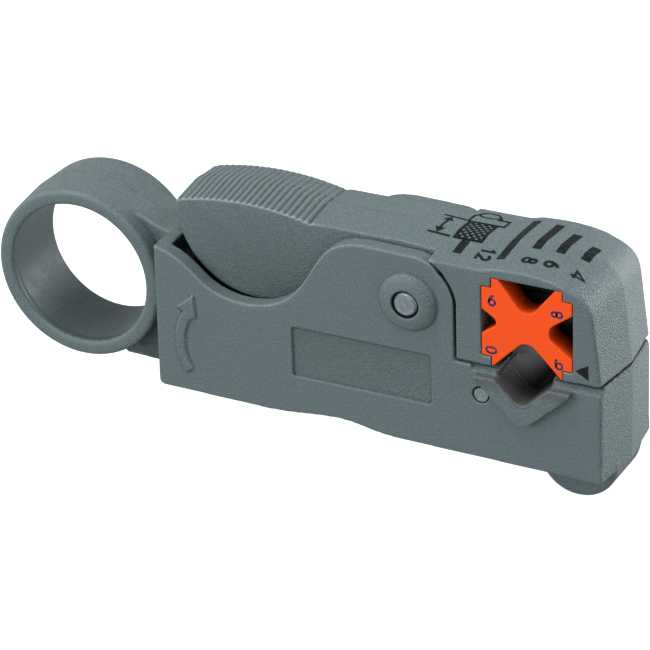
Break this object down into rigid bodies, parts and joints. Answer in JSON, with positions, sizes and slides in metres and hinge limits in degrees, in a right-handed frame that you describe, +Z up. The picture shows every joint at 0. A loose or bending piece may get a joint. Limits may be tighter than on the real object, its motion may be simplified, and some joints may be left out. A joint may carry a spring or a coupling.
{
  "type": "coaxial cable stripper",
  "caption": "Hand-held rotary coaxial cable stripper with a finger ring, a sprung thumb lever, two blades in its head and a reversible four-notch cable block.",
  "frame": {"origin": "centre of the bounding box, at its lowest point under the round foot", "axes": "+X from the finger ring to the nose, +Y across from the marked side to the far side, +Z up"},
  "size_m": [0.0896, 0.0186, 0.0342],
  "materials": {
    "grey_plastic": "fine-grained moulded plastic",
    "orange_plastic": "smooth moulded plastic",
    "black_plastic": "smooth moulded plastic",
    "pin_steel": "satin turned steel",
    "blade_steel": "ground and oiled steel",
    "spring_steel": "drawn spring wire",
    "black_steel": "black oxide"
  },
  "bodies": {
    "handle": {"body": "grey_plastic", "pivot_pin": "pin_steel", "cable_rest": "black_plastic", "rest_pin": "pin_steel", "return_spring": "spring_steel"},
    "thumb_lever": {"lever": "grey_plastic", "blade_holder": "black_plastic", "front_blade": "blade_steel", "rear_blade": "blade_steel", "clamp_plate": "black_plastic", "rear_holder_screw": "black_steel", "front_holder_screw": "black_steel", "rear_blade_screw": "black_steel", "front_blade_screw": "black_steel"},
    "block": {"cable_block": "orange_plastic"}
  },
  "joints": [
    {"name": "lever_pivot", "type": "hinge", "parent": "handle", "child": "thumb_lever", "pos_m": [0.01715, 0, 0.0256], "axis": [0, -1, 0], "range_deg": [0, 14], "stiffness_Nm_per_rad": 0.16, "springref_deg": -22.92, "deforming": ["return_spring"]},
    {"name": "block_slide", "type": "slide", "parent": "thumb_lever", "child": "block", "axis": [0, -1, 0], "range_m": [0, 0.005]}
  ]
}
